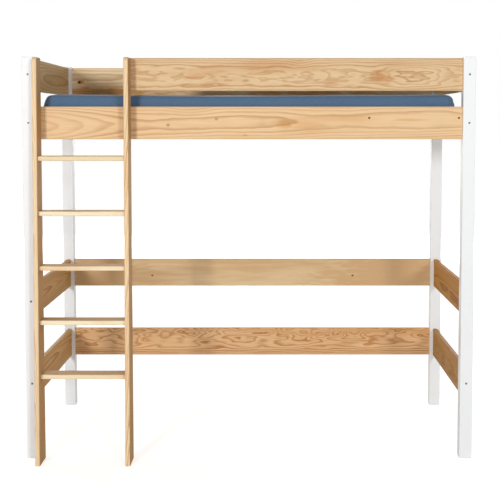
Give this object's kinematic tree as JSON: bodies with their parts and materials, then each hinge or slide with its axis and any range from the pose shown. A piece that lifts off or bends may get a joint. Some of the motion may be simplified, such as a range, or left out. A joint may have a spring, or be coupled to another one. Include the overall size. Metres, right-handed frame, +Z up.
{
  "type": "loft bed",
  "caption": "Loft bed on four square white posts, with pine boards bolted between them, a pine ladder at the front, a slatted base and a mattress.",
  "frame": {"origin": "on the floor, at the centre of the footprint with the ladder's feet", "axes": "+X along the bed, away from the ladder's end; +Y from the ladder side to the back; +Z up"},
  "size_m": [2.08, 1.1016, 1.87],
  "materials": {
    "pine": "satin",
    "white_lacquer": "satin",
    "zinc_steel": "satin",
    "beech": "matte",
    "white_plastic": "matte",
    "mattress_cover": "matte"
  },
  "bodies": {
    "frame": {"barrel_nuts": "zinc_steel", "board_dowels": "beech", "bolt_cap": "white_plastic", "end_guard_board_left": "pine", "end_guard_board_right": "pine", "end_low_board_left": "pine", "end_low_board_right": "pine", "end_mid_board_left": "pine", "end_mid_board_right": "pine", "end_rail_left": "pine", "end_rail_right": "pine", "front_guard_board": "pine", "front_rail": "pine", "ladder_rung_1": "pine", "ladder_rung_2": "pine", "ladder_rung_3": "pine", "ladder_rung_4": "pine", "ladder_rung_5": "pine", "ladder_screws": "zinc_steel", "ladder_side_left": "pine", "ladder_side_right": "pine", "ledger_screws": "zinc_steel", "post_bolts": "zinc_steel", "post_front_left": "white_lacquer", "post_front_right": "white_lacquer", "post_rear_left": "white_lacquer", "post_rear_right": "white_lacquer", "rear_guard_board": "pine", "rear_low_board": "pine", "rear_mid_board": "pine", "rear_rail": "pine", "rung_dowels": "beech", "rung_screws": "zinc_steel", "slat_01": "pine", "slat_02": "pine", "slat_03": "pine", "slat_04": "pine", "slat_05": "pine", "slat_06": "pine", "slat_07": "pine", "slat_08": "pine", "slat_09": "pine", "slat_10": "pine", "slat_11": "pine", "slat_12": "pine", "slat_13": "pine", "slat_14": "pine", "slat_ledger_front": "pine", "slat_ledger_rear": "pine", "slat_screws": "zinc_steel"},
    "mattress": {"mattress": "mattress_cover"}
  },
  "joints": [
    {"name": "mattress_lift", "type": "slide", "parent": "frame", "child": "mattress", "axis": [0, 0, 1], "range_m": [0, 0.32]}
  ]
}
